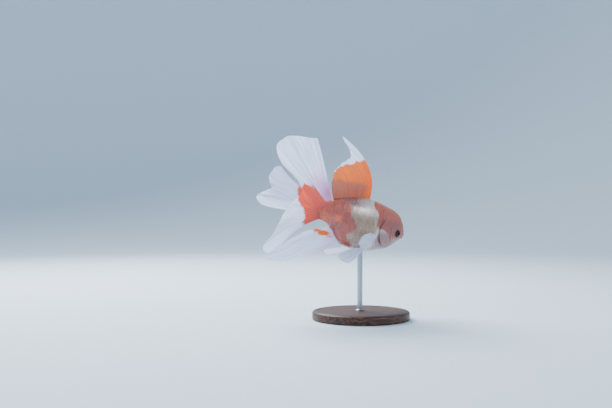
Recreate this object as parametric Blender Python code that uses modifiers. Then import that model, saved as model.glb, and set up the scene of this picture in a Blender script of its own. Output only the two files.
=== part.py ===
"""Life-size display model of a fantail goldfish, swimming nose down, on a plain stand.

World axes: +X is the way the fish heads, +Z is up, and the floor under the stand is z = 0.
Fish axes: x runs forward along the body from the root of the tail, y to its left, z to its back.
Sizes are in millimetres until the finished mesh is scaled to metres.
"""
import math

import bmesh
import bpy
from mathutils import Euler, Matrix, Vector

MM = 0.001

# The pose on the stand
NOSE_DOWN = math.radians(13.2)
BANK = math.radians(6.0)
TAIL_ROOT_AT = Vector((-43.0, 0.0, 101.0))

# Body: distance forward of the tail root, back, belly and half width
BODY_STATIONS = (
    (-3.0, 8.2, -7.8, 3.2),
    (7.0, 10.4, -8.8, 4.6),
    (14.0, 14.0, -11.8, 7.4),
    (20.0, 16.2, -19.6, 10.2),
    (27.0, 17.8, -25.2, 12.9),
    (38.0, 20.6, -27.3, 15.4),
    (48.0, 21.8, -27.4, 16.2),
    (58.0, 20.8, -25.8, 15.6),
    (67.0, 19.0, -22.8, 14.0),
    (75.0, 17.2, -20.2, 11.7),
    (82.0, 13.4, -14.2, 8.8),
    (87.5, 6.6, -8.8, 5.9),
    (91.0, 1.8, -6.2, 4.0),
)
TAIL_END = BODY_STATIONS[0][0]
SNOUT_END = BODY_STATIONS[-1][0]
TAIL_CAP = 3.0
SNOUT_CAP = 4.2
BELLY_FULLNESS = 0.14
BODY_RINGS = 36
BODY_SEGMENTS = 24

# Thin cuts that part the body into its named pieces, and a reach beyond any part of it
GAP = 0.3
HEAD_FROM = 57.2
STEM_UP_TO = 13.0
BEYOND = 50.0

# Gill covers: plates let into the sides of the head
GILL_CENTRE = Vector((66.2, 0.0, -4.0))
GILL_LENGTH = 14.0
GILL_HEIGHT = 23.0
GILL_THICKNESS = 1.4
GILL_PRISM_AT = 14.0
GILL_PRISM_DEPTH = 20.0
GILL_SEGMENTS = 24

# Eyes
EYE_CENTRE = Vector((79.2, 8.1, -3.4))
EYE_RADIUS = 3.7
EYE_SEGMENTS = 18
EYE_RINGS = 10

# Lower jaw, parted along the mouth
MOUTH_Z = -4.4
MOUTH_CORNER_X = 85.4
JAW_REAR_ANGLE = math.radians(38.0)
JAW_ROOM = Vector((20.0, 12.0, 16.0))

# Fins
FIN_THICKNESS = 0.6
FIN_ACROSS = 12
FIN_ALONG = 6

# Stand
BASE_RADIUS = 45.0
BASE_HEIGHT = 8.0
BASE_EDGE = 1.5
ROD_RADIUS = 2.5
ROD_FOOT = Vector((-1.0, 0.0, BASE_HEIGHT + GAP))
ROD_REACH = 70.0

PARTS_NAME = "goldfish_on_stand"
CUTTERS_NAME = "cutters"

# colour, roughness, metallic
FINISHES = {
    "red_skin": ((0.80, 0.16, 0.05), 0.35, 0.0),
    "white_skin": ((0.86, 0.80, 0.76), 0.35, 0.0),
    "eye": ((0.05, 0.04, 0.04), 0.08, 0.0),
    "white_fin": ((0.84, 0.86, 0.90), 0.40, 0.0),
    "orange_fin": ((0.88, 0.34, 0.08), 0.40, 0.0),
    "stand_base": ((0.10, 0.08, 0.07), 0.45, 0.0),
    "stand_rod": ((0.62, 0.62, 0.64), 0.28, 1.0),
}


# ---------------------------------------------------------------- scene helpers

def clear_scene():
    """Remove every object, so that the script can be run again."""
    for item in list(bpy.data.objects):
        bpy.data.objects.remove(item, do_unlink=True)


def new_collection(name):
    """A collection linked to the scene, made once."""
    found = bpy.data.collections.get(name)
    if found is None:
        found = bpy.data.collections.new(name)
        bpy.context.scene.collection.children.link(found)
    return found


def material(name):
    """The Principled material of one finish."""
    made = bpy.data.materials.get(name)
    if made is None:
        colour, roughness, metallic = FINISHES[name]
        made = bpy.data.materials.new(name)
        made.use_nodes = True
        shader = made.node_tree.nodes["Principled BSDF"]
        shader.inputs["Base Color"].default_value = (*colour, 1.0)
        shader.inputs["Roughness"].default_value = roughness
        shader.inputs["Metallic"].default_value = metallic
    return made


def place_mesh(name, form, collection, finish=None, pose=None, sharp=40.0):
    """Scale a finished form to metres and link it as one named object."""
    bmesh.ops.scale(form, vec=(MM, MM, MM), verts=form.verts)
    bmesh.ops.recalc_face_normals(form, faces=form.faces)
    data = bpy.data.meshes.new(name)
    form.to_mesh(data)
    form.free()
    data.shade_smooth()
    data.set_sharp_from_angle(angle=math.radians(sharp))
    item = bpy.data.objects.new(name, data)
    collection.objects.link(item)
    if finish:
        data.materials.append(material(finish))
    if pose:
        item.parent = pose
    return item


def as_cutter(item):
    """Mark an object as a cutter that is neither rendered nor built."""
    item.hide_render = True
    item.display_type = "WIRE"
    return item


def boolean(item, cutter, operation="DIFFERENCE"):
    """Add one Boolean step to an object."""
    step = item.modifiers.new(cutter.name, "BOOLEAN")
    step.operation = operation
    step.solver = "EXACT"
    step.object = cutter


# ---------------------------------------------------------------- body form

def smooth_value(stations, column, x):
    """A smooth curve through one column of the stations, read at x."""
    xs = [row[0] for row in stations]
    ys = [row[column] for row in stations]
    last = len(xs) - 1
    x = min(max(x, xs[0]), xs[last])
    i = max(k for k in range(last) if xs[k] <= x)

    def slope(k):
        before = max(k - 1, 0)
        after = min(k + 1, last)
        return (ys[after] - ys[before]) / (xs[after] - xs[before])

    span = xs[i + 1] - xs[i]
    t = (x - xs[i]) / span
    bend = (2 * t ** 3 - 3 * t ** 2 + 1, t ** 3 - 2 * t ** 2 + t, 3 * t ** 2 - 2 * t ** 3, t ** 3 - t ** 2)
    return bend[0] * ys[i] + bend[1] * span * slope(i) + bend[2] * ys[i + 1] + bend[3] * span * slope(i + 1)


def end_rounding(x):
    """1 along the body, falling to 0 in a round nose and a round tail root."""
    factor = 1.0
    for distance, radius in ((x - TAIL_END, TAIL_CAP), (SNOUT_END - x, SNOUT_CAP)):
        if distance < radius:
            factor *= math.sqrt(max(1.0 - (1.0 - distance / radius) ** 2, 0.0))
    return factor


def body_point(x, angle, grow=0.0):
    """A point of the body's surface; angle 0 is the back, and grow moves the surface outward."""
    back, belly, half = (smooth_value(BODY_STATIONS, column, x) for column in (1, 2, 3))
    rounding = end_rounding(x)
    height = (back - belly) / 2 * rounding + grow
    width = half * rounding + grow
    middle = (TAIL_END + SNOUT_END) / 2
    stretch = 1.0 + 2 * grow / (SNOUT_END - TAIL_END)
    return Vector((
        middle + (x - middle) * stretch,
        width * math.sin(angle) * (1.0 - BELLY_FULLNESS * math.cos(angle)),
        (back + belly) / 2 + height * math.cos(angle),
    ))


def body_form(grow=0.0):
    """The whole body, shaped from a sphere whose poles are the snout and the tail root."""
    form = bmesh.new()
    bmesh.ops.create_uvsphere(form, u_segments=BODY_SEGMENTS, v_segments=BODY_RINGS, radius=1.0)
    for vert in form.verts:
        along = math.acos(max(-1.0, min(1.0, vert.co.z))) / math.pi
        x = SNOUT_END + (TAIL_END - SNOUT_END) * (along - 0.05 * math.sin(2 * math.pi * along))
        vert.co = body_point(x, math.atan2(vert.co.y, vert.co.x), grow)
    return form


def box_form(low, high):
    """A box between two corners."""
    form = bmesh.new()
    bmesh.ops.create_cube(form, size=1.0)
    centre = (low + high) / 2
    bmesh.ops.scale(form, vec=high - low, verts=form.verts)
    bmesh.ops.translate(form, vec=centre, verts=form.verts)
    return form


def body_piece(name, from_x, to_x, finish, parts, cutters, pose):
    """The stretch of the body between two cross cuts."""
    piece = place_mesh(name, body_form(), parts, finish, pose)
    slab = box_form(Vector((from_x, -BEYOND, -BEYOND)), Vector((to_x, BEYOND, BEYOND)))
    keep = as_cutter(place_mesh(name + "_keep", slab, cutters, pose=pose))
    boolean(piece, keep, "INTERSECT")
    return piece


# ---------------------------------------------------------------- head details

def gill_prism(side, grow):
    """An oval prism through one side of the head, standing for a gill cover's outline."""
    form = bmesh.new()
    bmesh.ops.create_cone(
        form, cap_ends=True, segments=GILL_SEGMENTS, radius1=1.0, radius2=1.0, depth=GILL_PRISM_DEPTH)
    bmesh.ops.rotate(form, matrix=Matrix.Rotation(math.pi / 2, 3, "X"), verts=form.verts)
    size = Vector((GILL_LENGTH / 2 + grow, 1.0, GILL_HEIGHT / 2 + grow))
    bmesh.ops.scale(form, vec=size, verts=form.verts)
    place = GILL_CENTRE + Vector((0.0, side * GILL_PRISM_AT, 0.0))
    bmesh.ops.translate(form, vec=place, verts=form.verts)
    return form


def gill_cover(side, label, parts, cutters, pose):
    """One gill cover: the outer skin of the head inside its oval outline."""
    cover = place_mesh("gill_cover_" + label, body_form(), parts, "white_skin", pose)
    outline = as_cutter(place_mesh("gill_outline_" + label, gill_prism(side, 0.0), cutters, pose=pose))
    boolean(cover, outline, "INTERSECT")
    inside = as_cutter(place_mesh("gill_inside_" + label, body_form(-GILL_THICKNESS), cutters, pose=pose))
    boolean(cover, inside)
    return cover


def gill_recess(side, label, head, cutters, pose):
    """The shallow recess in the head in which a gill cover lies."""
    recess = as_cutter(place_mesh("gill_recess_" + label, gill_prism(side, GAP), cutters, pose=pose))
    depth = GILL_THICKNESS + GAP
    floor = as_cutter(place_mesh("gill_floor_" + label, body_form(-depth), cutters, pose=pose))
    boolean(recess, floor)
    boolean(head, recess)


def eye_form(radius):
    """A ball for an eye or its socket."""
    form = bmesh.new()
    bmesh.ops.create_uvsphere(form, u_segments=EYE_SEGMENTS, v_segments=EYE_RINGS, radius=radius)
    bmesh.ops.rotate(form, matrix=Matrix.Rotation(math.pi / 2, 3, "X"), verts=form.verts)
    return form


def eye(side, label, head, parts, cutters, pose):
    """One eyeball, with its socket cut in the head."""
    centre = Vector((EYE_CENTRE.x, side * EYE_CENTRE.y, EYE_CENTRE.z))
    ball = place_mesh("eye_" + label, eye_form(EYE_RADIUS), parts, "eye", pose)
    ball.location = centre * MM
    socket = as_cutter(place_mesh("socket_" + label, eye_form(EYE_RADIUS + GAP), cutters, pose=pose))
    socket.location = centre * MM
    boolean(head, socket)


def jaw_wedge(grow):
    """The block of space that the lower jaw fills, ahead of the throat and under the mouth."""
    low = Vector((0.0, -JAW_ROOM.y, -JAW_ROOM.z))
    form = box_form(low, Vector((JAW_ROOM.x, JAW_ROOM.y, grow)))
    for vert in form.verts:
        if vert.co.x < JAW_ROOM.x / 2:
            vert.co.x += vert.co.z * math.tan(JAW_REAR_ANGLE) - grow
    bmesh.ops.translate(form, vec=Vector((MOUTH_CORNER_X, 0.0, MOUTH_Z)), verts=form.verts)
    return form


def jaw(head, parts, cutters, pose):
    """The lower jaw, parted from the head along the mouth."""
    piece = place_mesh("jaw", body_form(), parts, "white_skin", pose)
    keep = as_cutter(place_mesh("jaw_keep", jaw_wedge(0.0), cutters, pose=pose))
    boolean(piece, keep, "INTERSECT")
    room = as_cutter(place_mesh("jaw_room", jaw_wedge(GAP), cutters, pose=pose))
    boolean(head, room)


# ---------------------------------------------------------------- fins

# Each fin is a sheet of rays. Rays run from a root line inside the body to a rim through a few
# named points. Bow moves the middle of the first and last ray, and ripple waves the free edge.
FINS = {
    "dorsal_fin": dict(
        finish="orange_fin",
        root=((47.0, 0.0, 17.0), (14.5, 0.0, 9.5)),
        rim=((4.0, -1.5, 70.5), (17.0, -0.8, 56.0), (10.5, 1.5, 46.0), (6.0, 1.0, 36.0), (6.4, 0.5, 28.0)),
        bow=((13.0, 0.0, 5.0), (-1.5, 0.0, 0.0)),
        ripple=(1.0, 2.0)),
    "tail_upper_right": dict(
        finish="white_fin",
        root=((11.0, -2.0, 8.5), (-1.0, -1.4, 0.4)),
        rim=((-21.5, -9.0, 62.0), (-37.0, -13.0, 59.5), (-53.0, -17.0, 55.5), (-60.5, -19.5, 45.5),
             (-51.8, -17.2, 33.2), (-36.8, -13.2, 25.4), (-22.5, -8.5, 13.4)),
        bow=((0.8, -1.0, 0.0), (-1.0, -1.0, 0.5)),
        ripple=(1.2, 2.5)),
    "tail_lower_right": dict(
        finish="white_fin",
        root=((-1.0, -1.4, -0.2), (3.0, -1.6, -7.4)),
        rim=((-22.5, -8.5, 12.8), (-33.0, -10.5, -4.0), (-38.5, -14.0, -19.0), (-43.5, -17.5, -31.5),
             (-50.5, -21.0, -42.0), (-45.0, -21.0, -47.0), (-36.5, -18.5, -43.5)),
        bow=((-1.0, -1.0, 0.5), (-3.0, -3.0, 4.0)),
        ripple=(1.0, 2.0)),
    "tail_upper_left": dict(
        finish="white_fin",
        root=((11.0, 2.0, 8.5), (-1.0, 1.4, 0.4)),
        rim=((-30.5, 40.5, 31.0), (-35.0, 44.0, 29.5), (-38.0, 44.0, 24.0), (-39.0, 41.0, 16.0),
             (-36.0, 36.0, 9.3)),
        bow=((-4.0, -1.0, -3.5), (-2.0, -3.0, 3.0)),
        ripple=(1.2, 2.0)),
    "tail_lower_left": dict(
        finish="white_fin",
        root=((-1.0, 1.4, -0.2), (3.0, 1.6, -7.4)),
        rim=((-36.0, 36.0, 8.7), (-41.0, 40.0, 4.0), (-46.0, 45.0, -1.0), (-42.0, 50.0, -6.0),
             (-34.0, 51.0, -9.0), (-25.0, 47.0, -9.0)),
        bow=((-2.0, -3.0, 3.0), (-2.0, -2.0, 1.0)),
        ripple=(1.0, 2.0)),
    "anal_fin_right": dict(
        finish="white_fin",
        root=((17.0, -2.6, -13.5), (27.0, -4.0, -22.5)),
        rim=((-33.0, -10.0, -45.0), (-39.5, -12.0, -50.0), (-37.0, -12.0, -53.5), (-24.0, -11.0, -51.0)),
        bow=((-1.0, -2.0, 4.5), (0.0, -2.0, -1.5)),
        ripple=(0.8, 1.5)),
    "anal_fin_left": dict(
        finish="white_fin",
        root=((17.0, 2.6, -13.5), (27.0, 4.0, -22.5)),
        rim=((-20.0, 13.0, -39.0), (-25.0, 15.0, -44.0), (-21.0, 15.5, -49.0), (-10.0, 13.5, -47.0)),
        bow=((-1.0, 2.0, 4.5), (0.0, 2.0, -1.5)),
        ripple=(0.8, 1.5)),
    "pelvic_fin_right": dict(
        finish="white_fin",
        root=((53.0, -7.0, -20.0), (48.0, -4.8, -21.0)),
        rim=((33.0, -19.0, -40.0), (27.0, -19.0, -39.0), (23.5, -15.5, -36.0), (27.0, -10.0, -33.0)),
        bow=((0.0, -1.5, -2.0), (0.0, -1.0, -1.0)),
        ripple=(0.6, 1.5)),
    "pelvic_fin_left": dict(
        finish="white_fin",
        root=((53.0, 7.0, -20.0), (48.0, 4.8, -21.0)),
        rim=((32.0, 21.0, -39.0), (26.0, 21.0, -38.0), (23.0, 17.0, -35.0), (27.0, 11.0, -32.5)),
        bow=((0.0, 1.5, -2.0), (0.0, 1.0, -1.0)),
        ripple=(0.6, 1.5)),
    "pectoral_fin_right": dict(
        finish="white_fin",
        root=((59.0, -10.5, -11.5), (56.0, -10.5, -16.5)),
        rim=((44.0, -23.5, -8.0), (37.5, -27.0, -11.5), (34.5, -28.0, -17.0), (37.0, -26.0, -22.5),
             (45.0, -20.0, -24.5)),
        bow=((1.0, -3.0, 0.5), (0.0, -3.0, -0.5)),
        ripple=(0.5, 1.5)),
    "pectoral_fin_left": dict(
        finish="white_fin",
        root=((59.0, 10.5, -11.5), (56.0, 10.5, -16.5)),
        rim=((46.0, 30.0, -8.5), (40.0, 33.5, -12.0), (37.0, 34.0, -17.5), (39.0, 31.0, -22.5),
             (46.0, 23.0, -24.5)),
        bow=((1.0, 2.0, 0.5), (0.0, 2.0, -0.5)),
        ripple=(0.5, 1.5)),
}


def rim_point(points, across):
    """A smooth curve through the rim's points, read at across from 0 to 1."""
    rows = [(i / (len(points) - 1), *point) for i, point in enumerate(points)]
    return Vector([smooth_value(rows, column, across) for column in (1, 2, 3)])


def fin_point(fin, across, along):
    """A point of a fin's middle sheet: across runs over the rays, along from root to rim."""
    root = Vector(fin["root"][0]).lerp(Vector(fin["root"][1]), across)
    rim = rim_point(fin["rim"], across)
    bow = Vector(fin["bow"][0]).lerp(Vector(fin["bow"][1]), across)
    height, waves = fin["ripple"]
    side = 1.0 if fin["root"][0][1] >= 0.0 else -1.0
    sway = Vector((0.0, side * height, 0.0)) * math.sin(2 * math.pi * waves * across) * along ** 2
    return root.lerp(rim, along) + bow * 4 * along * (1.0 - along) + sway


def fin_sheet(fin):
    """A flat grid bent over the rays of one fin."""
    form = bmesh.new()
    bmesh.ops.create_grid(form, x_segments=FIN_ACROSS, y_segments=FIN_ALONG, size=0.5)
    for vert in form.verts:
        vert.co = fin_point(fin, vert.co.x + 0.5, vert.co.y + 0.5)
    return form


def make_fin(name, fin, clearance, parts, pose):
    """One fin: the sheet given its thickness, and cut clear of the body."""
    sheet = place_mesh(name, fin_sheet(fin), parts, fin["finish"], pose, sharp=60.0)
    thickness = sheet.modifiers.new("thickness", "SOLIDIFY")
    thickness.thickness = FIN_THICKNESS * MM
    thickness.offset = 0.0
    boolean(sheet, clearance)


# ---------------------------------------------------------------- stand

def stand_base(parts):
    """A turned disc with rounded edges, flat underneath."""
    form = bmesh.new()
    bmesh.ops.create_cone(
        form, cap_ends=True, segments=64, radius1=BASE_RADIUS, radius2=BASE_RADIUS, depth=BASE_HEIGHT)
    bmesh.ops.translate(form, vec=Vector((0.0, 0.0, BASE_HEIGHT / 2)), verts=form.verts)
    disc = place_mesh("stand_base", form, parts, "stand_base")
    rounding = disc.modifiers.new("edge", "BEVEL")
    rounding.width = BASE_EDGE * MM
    rounding.segments = 3


def stand_rod(clearance, parts):
    """A round rod from the base to the belly, its top shaped to the body."""
    form = bmesh.new()
    bmesh.ops.create_cone(
        form, cap_ends=True, segments=24, radius1=ROD_RADIUS, radius2=ROD_RADIUS, depth=ROD_REACH)
    bmesh.ops.translate(form, vec=ROD_FOOT + Vector((0.0, 0.0, ROD_REACH / 2)), verts=form.verts)
    rod = place_mesh("stand_rod", form, parts, "stand_rod")
    boolean(rod, clearance)


# ---------------------------------------------------------------- assembly

def build():
    """Make the fish in its pose, then the stand under it."""
    clear_scene()
    parts = new_collection(PARTS_NAME)
    cutters = new_collection(CUTTERS_NAME)

    pose = bpy.data.objects.new("fish_pose", None)
    pose.location = TAIL_ROOT_AT * MM
    pose.rotation_euler = Euler((BANK, NOSE_DOWN, 0.0), "XYZ")
    parts.objects.link(pose)

    head = body_piece("head", HEAD_FROM + GAP / 2, SNOUT_END + BEYOND, "red_skin", parts, cutters, pose)
    body_piece("trunk", STEM_UP_TO + GAP / 2, HEAD_FROM - GAP / 2, "white_skin", parts, cutters, pose)
    body_piece("tail_stem", TAIL_END - BEYOND, STEM_UP_TO - GAP / 2, "red_skin", parts, cutters, pose)
    for side, label in ((1.0, "left"), (-1.0, "right")):
        gill_cover(side, label, parts, cutters, pose)
        gill_recess(side, label, head, cutters, pose)
        eye(side, label, head, parts, cutters, pose)
    jaw(head, parts, cutters, pose)

    clearance = as_cutter(place_mesh("fin_clearance", body_form(GAP), cutters, pose=pose))
    for name, fin in FINS.items():
        make_fin(name, fin, clearance, parts, pose)

    stand_base(parts)
    stand_rod(clearance, parts)


build()
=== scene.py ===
"""A red and white fantail goldfish, life size, swimming nose down on a plain display stand."""
import functools
import math

import bpy
import numpy as np
from mathutils import Euler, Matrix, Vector


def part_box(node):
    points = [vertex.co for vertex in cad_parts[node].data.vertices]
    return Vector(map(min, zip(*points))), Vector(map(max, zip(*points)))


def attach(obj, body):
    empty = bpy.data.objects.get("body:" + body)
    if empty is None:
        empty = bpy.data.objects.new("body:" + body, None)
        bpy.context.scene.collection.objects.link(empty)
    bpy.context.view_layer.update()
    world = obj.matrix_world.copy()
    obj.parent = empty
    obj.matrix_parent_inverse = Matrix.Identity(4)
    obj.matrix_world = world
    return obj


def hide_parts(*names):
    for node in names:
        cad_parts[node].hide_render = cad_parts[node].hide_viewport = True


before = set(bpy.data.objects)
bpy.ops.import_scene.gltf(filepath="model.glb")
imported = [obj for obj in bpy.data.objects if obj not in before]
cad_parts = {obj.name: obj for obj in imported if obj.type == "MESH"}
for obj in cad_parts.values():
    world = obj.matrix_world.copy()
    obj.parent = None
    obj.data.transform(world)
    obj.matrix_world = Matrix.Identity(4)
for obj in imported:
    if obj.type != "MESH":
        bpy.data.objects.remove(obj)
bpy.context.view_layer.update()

MM = 0.001
TURN = 2 * math.pi
SEED = 7

# ---- pose and body form

# Lengths here are in mm on the fish's own axes: x forward from the tail root, y to its left,
# z to its back. The pose then leans it over and sets it on the stand.
NOSE_DOWN = math.radians(13.2)
BANK = math.radians(6)
TAIL_ROOT_AT = np.array((-43, 0, 101))
POSE = np.array(Euler((BANK, NOSE_DOWN, 0), "XYZ").to_matrix())

# x, back height, belly height, half width
BODY_STATIONS = (
    (-3, 8.2, -7.8, 3.2), (7, 10.4, -8.8, 4.6), (14, 14, -11.8, 7.4),
    (20, 16.2, -19.6, 10.2), (27, 17.8, -25.2, 12.9), (38, 20.6, -27.3, 15.4),
    (48, 21.8, -27.4, 16.2), (58, 20.8, -25.8, 15.6), (67, 19, -22.8, 14),
    (75, 17.2, -20.2, 11.7), (82, 13.4, -14.2, 8.8), (87.5, 6.6, -8.8, 5.9),
    (91, 1.8, -6.2, 4))
TAIL_END = -3
SNOUT_END = 91
TAIL_CAP = 3
SNOUT_CAP = 4.2
BELLY_FULLNESS = 0.14
DEEP_INSIDE = np.array((40, 0, -3))   # a point on the body's long axis
SKIN_INSET = 0.45            # the scales' depth, by which the skin lies inside the solids
PROBE = 0.01                 # how far to each side the surface is read for its slope, in mm or radians

EYE_CENTRE = np.array((79.2, 8.1, -3.4))
EYE_AXIS = np.array((0.16, 0.97, 0.12))
EYE_RADIUS = 3.6


def to_world(points):
    """Fish axes in mm to the scene's metres."""
    return (points @ POSE.T + TAIL_ROOT_AT) * MM


def smooth_value(stations, column, x):
    """A smooth curve through one column of the stations, read at every x."""
    table = np.asarray(stations, float)
    xs, ys = table[:, 0], table[:, column]
    last = len(xs) - 1
    x = np.clip(x, xs[0], xs[last])
    i = np.clip(np.searchsorted(xs, x, side="right") - 1, 0, last - 1)
    order = np.arange(last + 1)
    before, after = np.maximum(order - 1, 0), np.minimum(order + 1, last)
    slopes = (ys[after] - ys[before]) / (xs[after] - xs[before])
    span = xs[i + 1] - xs[i]
    t = (x - xs[i]) / span
    return ((2 * t ** 3 - 3 * t ** 2 + 1) * ys[i] + (t ** 3 - 2 * t ** 2 + t) * span * slopes[i]
            + (3 * t ** 2 - 2 * t ** 3) * ys[i + 1] + (t ** 3 - t ** 2) * span * slopes[i + 1])


def body_surface(x, angle, grow=0):
    """Points of the body's surface; angle 0 is the back, pi the belly, and grow moves it outward."""
    back, belly, half = (smooth_value(BODY_STATIONS, column, x) for column in (1, 2, 3))
    rounding = np.ones_like(x)
    for distance, radius in ((x - TAIL_END, TAIL_CAP), (SNOUT_END - x, SNOUT_CAP)):
        inner = np.clip(1 - distance / radius, 0, 1)
        rounding = rounding * np.sqrt(1 - inner ** 2)
    height = ((back - belly) / 2 + grow) * rounding
    width = (half + grow) * rounding
    middle = (TAIL_END + SNOUT_END) / 2
    longer = 1 + 2 * grow / (SNOUT_END - TAIL_END)
    return np.stack((middle + (x - middle) * longer,
                     width * np.sin(angle) * (1 - BELLY_FULLNESS * np.cos(angle)),
                     (back + belly) / 2 + height * np.cos(angle)), axis=-1)


def surface_step(x, angle, dx, da, grow=0):
    """The step over the surface from dx and da before a point to as far after it."""
    return body_surface(x + dx, angle + da, grow) - body_surface(x - dx, angle - da, grow)


def stretch(x, angle, dx, da):
    """Millimetres of surface for each millimetre of x, or for each radian round the body."""
    return np.linalg.norm(surface_step(x, angle, dx, da), axis=1) / (2 * PROBE)


def hump(distance, width):
    """A smooth hump, 1 at no distance."""
    return np.exp(-(distance / width) ** 2)


def rise(value, low, high):
    """A smooth rise from 0 at low to 1 at high."""
    t = np.clip((value - low) / (high - low), 0, 1)
    return t * t * (3 - 2 * t)


def fall(value, low, high):
    """A smooth fall from 1 at low to 0 at high."""
    return rise(-value, -high, -low)


def to_line(x, z, start, end):
    """Distance in the side view from a short line."""
    (ax, az), (bx, bz) = start, end
    dx, dz = bx - ax, bz - az
    t = np.clip(((x - ax) * dx + (z - az) * dz) / (dx ** 2 + dz ** 2), 0, 1)
    return np.hypot(x - ax - t * dx, z - az - t * dz)


def oval(x, z, centre, radii, tilt=0):
    """Depth in mm inside a tilted oval in the side view, negative outside."""
    c, s = math.cos(math.radians(tilt)), math.sin(math.radians(tilt))
    dx, dz = x - centre[0], z - centre[1]
    rho = np.hypot((dx * c + dz * s) / radii[0], (dz * c - dx * s) / radii[1])
    return (1 - rho) * min(radii)


def line_value(line, at):
    """A line of points read at every place along its first number."""
    places, values = zip(*line)
    return np.interp(at, places, values)


# ---- sculpted relief

# ovals in the side view: centre, radii
GILL_COVER = ((69, -4.6), (10.2, 13.4))
CHEEK_BONE = ((77.6, -3.6), (7.2, 11.2))
# lines that stand out of the side of the head or lie in it: start, end, height, width, darkness (painted shade
# laid along the line)
HEAD_LINES = (
    ((60.6, -10.4), (70.4, -14), -0.28, 0.36, 0.3),    # joint between two bones of the gill cover
    ((69.6, -5.5), (62, -2), 0.25, 2.2, 0),          # swell of the upper bone
    ((68.5, -8.5), (60.9, -4.4), -0.07, 0.5, 0),     # faint lines that fan out over it
    ((69.4, -3), (61.6, 2.6), -0.07, 0.5, 0),
    ((69, 1.5), (63.6, 6.4), -0.07, 0.5, 0),
    ((74, 6), (66, 9.6), -0.15, 0.5, 0),           # canals of the head
    ((86.5, 4.4), (76, 7.6), -0.12, 0.45, 0))
# lips and the furrows beside them: place above the slit of the mouth, height, width
LIPS = ((1.05, 0.62, 0.62), (-1.1, 0.72, 0.66), (0, -1.6, 0.30), (2.5, -0.30, 0.5), (-2.6, -0.42, 0.55))
LIPS_BACK = 0.28             # how far the whole mouth lies back
MOUTH_FOLD = ((86.7, -5.4), (84.9, -9.2))
NOSTRILS = ((85.4, 55, 0.42, 1), (84, 59, 0.58, 1.1))   # x, angle, radius, depth
FIN_FLESH = (((57.5, 10.5, -14), 3.6, 0.45), ((51, 6.4, -21.5), 3.8, 0.35),
             ((22, 3.4, -18.5), 4, 0.35))   # centre, reach, height


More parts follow.
